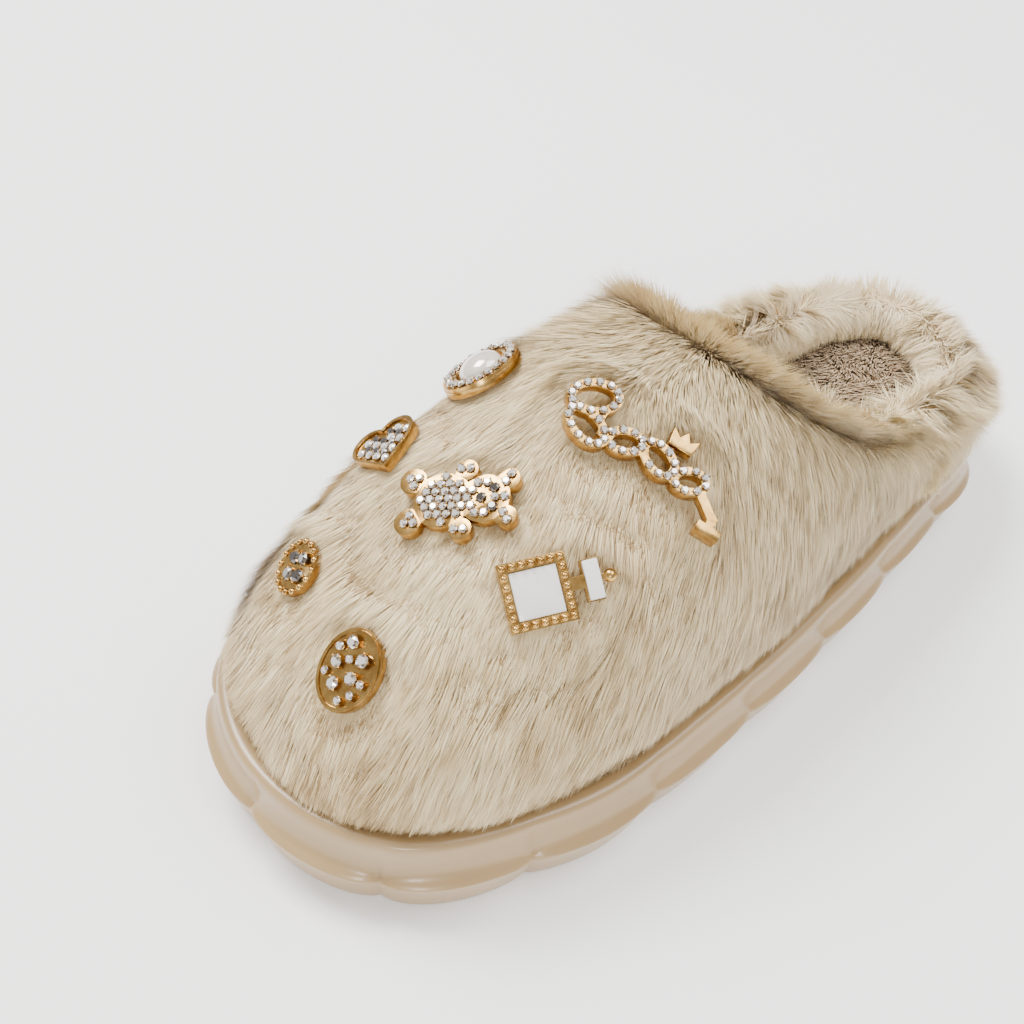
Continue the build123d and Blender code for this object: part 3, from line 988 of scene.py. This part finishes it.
# ---- charms -------------------------------------------------------------------------------------
@dataclass
class CutStones:
    """Faceted stones set where a CAD group of stones has its seats."""

    node: str
    finish: PaintedFacetFinish
    body: str

    def seats(self) -> tuple[np.ndarray, np.ndarray]:
        """Finds each stone's middle and radius from the loose solids of the node.

        Returns:
            The middles, and the radii.
        """
        work = bmesh.new()
        work.from_mesh(frame["nodes"][self.node].data)
        bmesh.ops.remove_doubles(work, verts=work.verts, dist=0.00001)
        work.verts.ensure_lookup_table()
        seen, middles, radii = set(), [], []
        for vert in work.verts:
            if vert.index in seen:
                continue
            stack, island = [vert], []
            seen.add(vert.index)
            while stack:
                here = stack.pop()
                island.append(here.co.copy())
                for edge in here.link_edges:
                    other = edge.other_vert(here)
                    if other.index not in seen:
                        seen.add(other.index)
                        stack.append(other)
            points = np.array([tuple(p) for p in island])
            middle = (points.max(0) + points.min(0)) / 2
            middles.append(middle)
            radii.append(np.linalg.norm(points - middle, axis=1).max() * 0.96)
        work.free()
        return np.array(middles), np.array(radii)

    def cut(self) -> bpy.types.Object:
        """Makes one brilliant of unit radius in its four prongs, +Z outwards.

        Returns:
            The stone, not linked to the scene.
        """
        verts = [(0, 0, -0.55)]
        levels = ((1.0, -0.12, 0.0), (0.98, 0.06, 0.0), (0.60, 0.42, 0.5))
        for radius, z, turn in levels:
            for i in range(8):
                angle = 2 * math.pi * (i + turn) / 8
                verts.append((radius * math.cos(angle), radius * math.sin(angle), z))
        faces = [tuple(range(17, 25))]
        for i in range(8):
            j = (i + 1) % 8
            faces += [(0, 1 + j, 1 + i), (1 + i, 1 + j, 9 + j, 9 + i)]
            faces += [(9 + i, 9 + j, 17 + i), (9 + j, 17 + j, 17 + i)]
        facets = len(faces)
        for i in range(4):
            x, y = (1.02 * f(math.pi * (i + 0.5) / 2) for f in (math.cos, math.sin))
            first = len(verts)
            verts += [(x - 0.2, y, 0.1), (x, y - 0.2, 0.1), (x + 0.2, y, 0.1), (x, y + 0.2, 0.1),
                      (x * 0.95, y * 0.95, 0.38), (x, y, -0.5)]
            for k in range(4):
                here, after = first + k, first + (k + 1) % 4
                faces += [(here, after, first + 4), (after, here, first + 5)]
        mesh = bpy.data.meshes.new("brilliant")
        mesh.from_pydata(verts, [], faces)
        for material in self.finish.materials() + [GOLD.material()]:
            mesh.materials.append(material)
        # Painted reflections: the table takes the bright shade, the other facets cycle through the dark,
        # middle and bright shades, and the prongs take the gold.
        for i, facet in enumerate(mesh.polygons):
            facet.material_index = 0 if i == 0 else (1, 2, 0, 2, 1, 2)[i % 6] if i < facets else 3
        return bpy.data.objects.new("brilliant", mesh)

    def set_all(self, outward: np.ndarray) -> bpy.types.Object:
        """Sets a stone on every seat, facing outwards.

        Args:
            outward: Direction that the stones' tables face.

        Returns:
            All the stones as one mesh.
        """
        middles, radii = self.seats()
        stones = mesh_object(f"{self.node}_cut", middles.tolist(), [])
        size = stones.data.attributes.new("size", "FLOAT", "POINT")
        size.data.foreach_set("value", radii.astype(np.float32))
        tree = bpy.data.node_groups.new("set_stones", "GeometryNodeTree")
        tree.interface.new_socket("Geometry", in_out="INPUT", socket_type="NodeSocketGeometry")
        tree.interface.new_socket("Outward", in_out="INPUT", socket_type="NodeSocketVector")
        tree.interface.new_socket("Geometry", in_out="OUTPUT", socket_type="NodeSocketGeometry")
        start = tree.nodes.new("NodeGroupInput")
        brilliant = self.cut()
        source = tree.nodes.new("GeometryNodeObjectInfo")
        source.inputs["Object"].default_value = brilliant
        align = tree.nodes.new("FunctionNodeAlignRotationToVector")
        align.axis = "Z"
        tree.links.new(start.outputs["Outward"], align.inputs["Vector"])
        spin = tree.nodes.new("FunctionNodeRandomValue")
        spin.data_type = "FLOAT_VECTOR"
        spin.inputs[0].default_value = (-0.26, -0.26, 0)
        spin.inputs[1].default_value = (0.26, 0.26, 6.28)
        turn = tree.nodes.new("FunctionNodeRotateRotation")
        turn.rotation_space = "LOCAL"
        tree.links.new(align.outputs["Rotation"], turn.inputs["Rotation"])
        tree.links.new(spin.outputs[0], turn.inputs["Rotate By"])
        scale = tree.nodes.new("GeometryNodeInputNamedAttribute")
        scale.inputs["Name"].default_value = "size"
        plant = tree.nodes.new("GeometryNodeInstanceOnPoints")
        tree.links.new(start.outputs["Geometry"], plant.inputs["Points"])
        tree.links.new(source.outputs["Geometry"], plant.inputs["Instance"])
        tree.links.new(turn.outputs["Rotation"], plant.inputs["Rotation"])
        tree.links.new(scale.outputs["Attribute"], plant.inputs["Scale"])
        real = tree.nodes.new("GeometryNodeRealizeInstances")
        tree.links.new(plant.outputs["Instances"], real.inputs["Geometry"])
        end = tree.nodes.new("NodeGroupOutput")
        tree.links.new(real.outputs["Geometry"], end.inputs["Geometry"])
        modifier = stones.modifiers.new("stones", "NODES")
        modifier.node_group = tree
        sockets = {item.name: item.identifier for item in tree.interface.items_tree if item.in_out == "INPUT"}
        modifier[sockets["Outward"]] = tuple(float(v) for v in outward)
        baked(stones)
        bpy.data.objects.remove(brilliant)
        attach(stones, self.body)
        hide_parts(self.node)
        return stones


@dataclass
class Charms:
    """All the pinned charms: softened castings, cut stones and the small fittings."""

    edge: float = 0.00022

    def body_of(self, node: str) -> str:
        """Name of the body that a node belongs to."""
        for body, nodes in frame["record"]["behaviour"]["bodies"].items():
            if node in nodes:
                return body
        return "root"

    def soften(self, node: str, finish: Finish) -> bpy.types.Object:
        """Replaces a casting with a copy whose edges are rounded and catch the light."""
        piece = merged_copy(f"{node}_polished", [node])
        bevel = piece.modifiers.new("edges", "BEVEL")
        bevel.width = self.edge
        bevel.segments = 2
        bevel.limit_method = "ANGLE"
        bevel.angle_limit = math.radians(35)
        baked(piece)
        smooth(piece, 40)
        piece.data.materials.clear()
        piece.data.materials.append(finish.material())
        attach(piece, self.body_of(node))
        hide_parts(node)
        return piece

    def build(self) -> None:
        """Builds and dresses every charm."""
        finishes = {"black_stones": BLACK_STONE, "dark_stones": BLACK_STONE, "white_stones": WHITE_STONE}
        for seat in charm_seats():
            for node in [n for n in frame["nodes"] if n.startswith(seat.name + "_")]:
                kind = node[len(seat.name) + 1:]
                if kind.endswith("stones"):
                    finish = finishes.get(kind, BLACK_STONE if seat.name == "flower" else CLEAR_STONE)
                    CutStones(node, finish, self.body_of(node)).set_all(seat.outward)
                elif kind in ("casting", "crown"):
                    self.soften(node, GOLD)
                elif kind in ("panel", "stopper"):
                    self.soften(node, ENAMEL)
                elif kind == "cabochon":
                    piece = self.soften(node, PEARL)
                    smooth(piece)
                LOG.info("%s on %s", node, self.body_of(node))


def dress_hidden_parts() -> None:
    """Gives every CAD node that stays its own finish."""
    for node, obj in frame["nodes"].items():
        finish = None
        if node.endswith("foam"):
            finish = FOAM
        elif node == "insole_board":
            finish = BOARD
        elif node == "heel_counter":
            finish = COUNTER
        elif "post" in node:
            finish = STEEL
        elif "button" in node:
            finish = BUTTON
        if finish:
            obj.data.materials.clear()
            obj.data.materials.append(finish.material())


# ---- studio -------------------------------------------------------------------------------------
@dataclass
class Studio:
    """Pale floor, soft lights and the camera."""

    azimuth: float = 41.4
    elevation: float = 41.7
    distance: float = 293.9
    focal: float = 38.39
    roll: float = 6.87
    target: tuple[float, float, float] = (-30.96, -34.28, 20.0)

    def camera(self) -> None:
        """Places the camera."""
        a, e, r = (math.radians(v) for v in (self.azimuth, self.elevation, self.roll))
        back = Vector((math.sin(a) * math.cos(e), -math.cos(a) * math.cos(e), math.sin(e)))
        right = Vector((math.cos(a), math.sin(a), 0))
        up = back.cross(right)
        x = right * math.cos(r) + up * math.sin(r)
        y = -right * math.sin(r) + up * math.cos(r)
        place = (Vector(self.target) + back * self.distance) * MM
        data = bpy.data.cameras.new("camera")
        data.lens = self.focal
        data.sensor_width = 36
        data.clip_start = 0.01
        camera = link(bpy.data.objects.new("camera", data))
        camera.matrix_world = Matrix((x, y, back)).transposed().to_4x4()
        camera.location = place
        bpy.context.scene.camera = camera

    def light(self, name: str, place: tuple, size: float, power: float, colour: tuple = (1, 1, 1)) -> None:
        """Hangs one soft square light aimed at the object."""
        data = bpy.data.lights.new(name, "AREA")
        data.size = size
        data.energy = power
        data.color = colour
        lamp = link(bpy.data.objects.new(name, data))
        lamp.location = place
        lamp.rotation_euler = (Vector((0, 0, 0.03)) - Vector(place)).to_track_quat("-Z", "Y").to_euler()

    def build(self) -> None:
        """Builds the studio."""
        floor = mesh_object("floor", [(-4, -4, 0), (4, -4, 0), (4, 4, 0), (-4, 4, 0)], [(0, 1, 2, 3)])
        paper = Finish("paper_floor", (0.93, 0.93, 0.93, 1), (0.95, 0.95, 0.95, 1), (0.7, 0.8), 4, 300,
                       0.0001, 0.05).material()
        glow = paper.node_tree.nodes["Principled BSDF"].inputs
        glow["Emission Color"].default_value = (1, 1, 1, 1)
        glow["Emission Strength"].default_value = 0.35
        floor.data.materials.append(paper)
        world = bpy.data.worlds.new("studio")
        world.use_nodes = True
        world.node_tree.nodes["Background"].inputs["Color"].default_value = (1.0, 0.99, 0.975, 1)
        world.node_tree.nodes["Background"].inputs["Strength"].default_value = 0.66
        bpy.context.scene.world = world
        self.light("key", (-1.0, -0.2, 1.7), 0.9, 70.0, (1.0, 0.985, 0.96))
        self.light("top", (0.5, 0.7, 2.0), 1.4, 42.0)
        self.light("near", (1.1, -1.3, 0.8), 0.35, 11.0)
        self.camera()


def main() -> None:
    """Builds the slipper and its studio."""
    logging.basicConfig(level=logging.INFO, format="%(message)s")
    Studio().build()
    sole = Sole()
    sole.dress(sole.build())
    for upper in (PaddedUpper("vamp", ("vamp_fur", "vamp_foam", "vamp_lining")),
                  PaddedUpper("quarter", ("quarter_fur", "quarter_foam", "quarter_lining"), length=0.0095,
                              roll=0.0040, plush=0.0070, plush_per_mm2=8.0)):
        upper.build()
        upper.comb()
        upper.dress(upper.fur())
    footbed = Footbed()
    footbed.dress(footbed.build())
    Charms().build()
    dress_hidden_parts()


if __name__ == "__main__":
    main()
